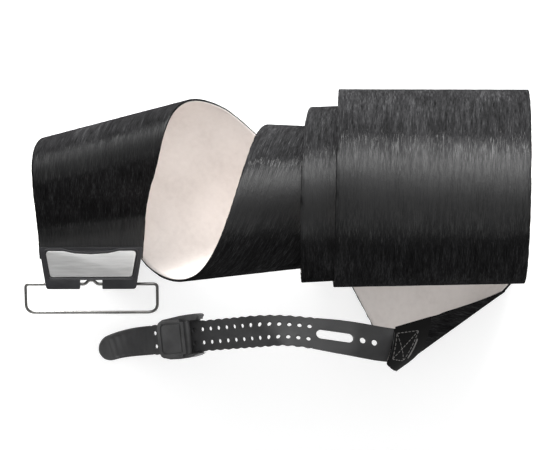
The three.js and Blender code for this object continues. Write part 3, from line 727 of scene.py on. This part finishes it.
def curve_points(start, controls, end, count=12):
    """Points after the start of a Bezier curve with one or two controls."""
    knots = np.array([start, *controls, end], dtype=float)
    points = []
    for share in np.arange(1, count + 1) / count:
        level = knots
        while len(level) > 1:
            level = level[:-1] + (level[1:] - level[:-1]) * share
        points.append(level[0])
    return points


def plate_outline(grow):
    """The plate's outline, grown outwards: rounded corners and a shallow dip in its upper edge."""
    half_top, half_low = PLATE["top_half"] + grow, PLATE["bottom_half"] + grow
    top, low = PLATE["top"] + grow, PLATE["bottom"] - grow
    corner, dip_half = PLATE["corner"] + grow, PLATE["dip_half"]
    flat, dip = dip_half * PLATE["dip_flat"], PLATE["dip"]
    right = [(half_low - corner, low),
             *curve_points((half_low - corner, low), [(half_low, low)], (half_low, low + corner)),
             (half_top, top - corner),
             *curve_points((half_top, top - corner), [(half_top, top)], (half_top - corner, top))]
    middle = curve_points((dip_half, top), [(flat, top - dip), (-flat, top - dip)],
                          (-dip_half, top), 24)
    left = [(-x, y) for x, y in right[::-1]]
    return [np.array(p, dtype=float) for p in [*right, (dip_half, top), *middle, *left]]


def swept(points, outline, closed, put):
    """Places of an outline carried along points that lie in one plane."""
    vertices = []
    count = len(points)
    for i, point in enumerate(points):
        before = points[i - 1] if closed or i else point
        after = points[(i + 1) % count] if closed or i + 1 < count else point
        ahead = (after - before) / np.linalg.norm(after - before)
        side = np.array([-ahead[1], ahead[0]])
        vertices += [put(*(point + side * wide), high) * MM for wide, high in outline]
    return vertices


def plate_rim():
    """The raised lip that frames the plate."""
    points = plate_outline(RIM["out"])
    kept = [point for i, point in enumerate(points)
            if i == 0 or np.linalg.norm(point - points[i - 1]) > RIM["apart"]]
    foot, rise = BUCKLE_FRONT - RIM["sunk"], RIM["high"] + RIM["sunk"]
    outline = [(RIM["wide"] * math.cos(a), foot + rise * math.sin(a))
               for a in np.linspace(0, math.pi, RIM["arch_points"])]
    vertices = swept(kept, outline, True, in_buckle)
    return piece("plate_rim", vertices, closed_ring_faces(len(kept), len(outline)))


def wire_points():
    """The wire's bent line: its straight top with a hump, round corners, and its ends butted."""
    half, drop, hump = WIRE["half"], WIRE["drop"], WIRE["hump_half"]
    top, low, high = WIRE["top_corner"], WIRE["bottom_corner"], WIRE["hump_high"]
    butt = WIRE["butt_x"]
    points = [(butt - WIRE["joint"], 0), (hump, 0)]
    points += curve_points((hump, 0), [(hump / 2, 0), (hump / 2, high)], (0, high))
    points += curve_points((0, high), [(-hump / 2, high), (-hump / 2, 0)], (-hump, 0))
    points += [(-half + top, 0)]
    points += curve_points((-half + top, 0), [(-half, 0)], (-half, -top))
    points += [(-half, low - drop)]
    points += curve_points((-half, low - drop), [(-half, -drop)], (low - half, -drop))
    points += [(half - low, -drop)]
    points += curve_points((half - low, -drop), [(half, -drop)], (half, low - drop))
    points += [(half, -top)]
    points += curve_points((half, -top), [(half, 0)], (half - top, 0))
    points += [(butt, 0)]
    return [np.array(p, dtype=float) for p in points]


def in_wire(x, y, z):
    """A point of the wire's own plane, which leans down from the buckle."""
    tilt = math.radians(WIRE["lie_down"])
    return in_buckle(x, WIRE["axis_y"] + y * math.cos(tilt) - z * math.sin(tilt),
                     y * math.sin(tilt) + z * math.cos(tilt))


def wire_loop():
    turn = np.arange(WIRE["sides"]) * 2 * math.pi / WIRE["sides"]
    outline = [(WIRE["radius"] * math.cos(a), WIRE["radius"] * math.sin(a)) for a in turn]
    points = wire_points()
    vertices = swept(points, outline, False, in_wire)
    return piece("wire_loop_fine", vertices, ring_faces(len(points), len(outline)))


placed(plate_rim(), "skin", BUCKLE_BLACK, "black_plastic")
placed(wire_loop(), "wire", WIRE_STEEL, "wire_metal", ["wire_loop"])


# ---------- the tail's stitches, thread by thread ----------

STITCH = {"long": 2.3, "gap": 0.55, "radius": 0.26, "height": -2.2, "dive": 0.3, "end": 0.35,
          "rings": 7, "sides": 6}
BOX_CORNERS = [(-164.2, -8.7), (-154, -8.6), (-149.1, 13.9), (-164.2, 8.5)]
BAR = {"from": (-150.6, -6.2), "to": (-148.7, 8.1), "wide": 1.3, "pitch": 0.42}


def thread(start, end):
    """Places of one stitch: a thread that dives into the cloth at both ends."""
    start, end = np.array(start), np.array(end)
    run = end - start
    side = np.array([-run[1], run[0]]) / np.linalg.norm(run)
    vertices = []
    for share in np.linspace(0, 1, STITCH["rings"]):
        arch = math.sin(math.pi * share) ** 0.5
        slim = STITCH["radius"] * (STITCH["end"] + (1 - STITCH["end"]) * arch)
        centre = start + run * share
        height = STITCH["height"] + STITCH["dive"] * (1 - arch)
        for a in np.arange(STITCH["sides"]) * 2 * math.pi / STITCH["sides"]:
            flat = centre + side * slim * math.cos(a)
            vertices.append(on_strip(*flat, height - slim * math.sin(a)))
    return vertices


def stitches(name, pairs):
    """One piece with a thread for each pair of ends."""
    vertices, faces = [], []
    for start, end in pairs:
        first = len(vertices)
        vertices += thread(start, end)
        faces += [tuple(first + i for i in face)
                  for face in ring_faces(STITCH["rings"], STITCH["sides"])]
    return piece(name, vertices, faces)


def sewn_line(start, end):
    """Ends of the equal stitches that fill a straight line."""
    start, end = np.array(start), np.array(end)
    length = np.linalg.norm(end - start)
    count = max(1, round(length / (STITCH["long"] + STITCH["gap"])))
    step = (end - start) / count
    gap = step / np.linalg.norm(step) * STITCH["gap"] / 2
    return [(start + step * i + gap, start + step * (i + 1) - gap) for i in range(count)]


def box_pairs():
    """Stitches of the box's four sides and its two diagonals."""
    sides = [(i, (i + 1) % 4) for i in range(4)]
    return [pair for start, end in [*sides, (0, 2), (1, 3)]
            for pair in sewn_line(BOX_CORNERS[start], BOX_CORNERS[end])]


def bar_pairs():
    """The bar's short stitches, side by side, each leaning over the next."""
    start, end = np.array(BAR["from"]), np.array(BAR["to"])
    run = end - start
    length = np.linalg.norm(run)
    side = np.array([-run[1], run[0]]) / length * BAR["wide"] / 2
    lean = run / length * BAR["pitch"]
    return [(start + run * i - side - lean, start + run * i + side + lean)
            for i in np.arange(0, 1, BAR["pitch"] / length)]


placed(stitches("box_threads", box_pairs()), "skin", THREAD, "thread", ["box_stitch"])
placed(stitches("bar_threads", bar_pairs()), "skin", THREAD, "thread", ["bar_stitch"])


# ---------- floor, light, camera ----------

FLOOR_HALF = 3.0
FLOOR_GLOW = 0.3
# Name, place, size, watts and whether it casts shadows. Each lamp looks at LOOKED_AT.
LAMPS = [
    ("key", (0, 1.1, 1.6), (1.3, 0.55), 20.5, False),
    ("side", (0, 2.2, 0.35), (2.2, 0.5), 270, True),
    ("fill", (0, -2.2, 0.3), (2.2, 0.4), 22, True),
]
LOOKED_AT = Vector((0, 0, 0.03))
# Brightness on the strap's side and behind the roll, and where it changes over.
WORLD_DARK, WORLD_BRIGHT = 0.3, 0.6
WORLD_CHANGE = (-0.35, 0.7)
CAMERA_HEIGHT = 2.45
HALF_WIDTH_AT_TABLE = 0.19644


def stage_floor():
    """A plain white floor that glows faintly, as a lit sweep does."""
    mesh = bpy.data.meshes.new("floor")
    side = FLOOR_HALF
    mesh.from_pydata([(-side, -side, 0), (side, -side, 0), (side, side, 0), (-side, side, 0)],
                     [], [(0, 1, 2, 3)])
    floor = linked_object("floor", mesh)
    material, tree, shader = new_material("floor_white")
    shade = noise(tree, mapped(tree, (3, 3, 3), "Object"), detail=2)
    linked(tree, ramp(tree, shade, [(0.3, (0.88, 0.88, 0.88)), (0.7, (0.9, 0.9, 0.9))]),
           shader.inputs["Base Color"])
    shader.inputs["Roughness"].default_value = 0.9
    shader.inputs["Emission Color"].default_value = (1, 1, 1, 1)
    shader.inputs["Emission Strength"].default_value = FLOOR_GLOW
    mesh.materials.append(material)


def area_light(name, place, size, power, shadow):
    data = bpy.data.lights.new(name, "AREA")
    data.shape = "RECTANGLE"
    data.size, data.size_y = size
    data.energy = power
    data.use_shadow = shadow
    light = linked_object(name, data)
    light.location = place
    look = LOOKED_AT - Vector(place)
    light.rotation_euler = look.to_track_quat("-Z", "Y").to_euler()


def studio_world():
    """Soft light that comes mostly from behind the roll, and little from the strap's side."""
    world = bpy.data.worlds.new("studio")
    world.use_nodes = True
    tree = world.node_tree
    background = tree.nodes["Background"]
    background.inputs["Color"].default_value = (1, 1, 1, 1)
    place = tree.nodes.new("ShaderNodeTexCoord")
    parts = tree.nodes.new("ShaderNodeSeparateXYZ")
    linked(tree, place.outputs["Generated"], parts.inputs["Vector"])
    linked(tree, spread(tree, parts.outputs["Y"], WORLD_DARK, WORLD_BRIGHT, *WORLD_CHANGE),
           background.inputs["Strength"])
    bpy.context.scene.world = world


def camera_above():
    """A camera straight above the part, looking down."""
    data = bpy.data.cameras.new("camera")
    data.angle = 2 * math.atan(HALF_WIDTH_AT_TABLE / CAMERA_HEIGHT)
    camera = linked_object("camera", data)
    camera.location = (HOME[0] * MM, HOME[1] * MM, CAMERA_HEIGHT + HOME[2] * MM)
    bpy.context.scene.camera = camera


stage_floor()
for lamp in LAMPS:
    area_light(*lamp)
studio_world()
camera_above()
bpy.context.scene.view_settings.view_transform = "Standard"
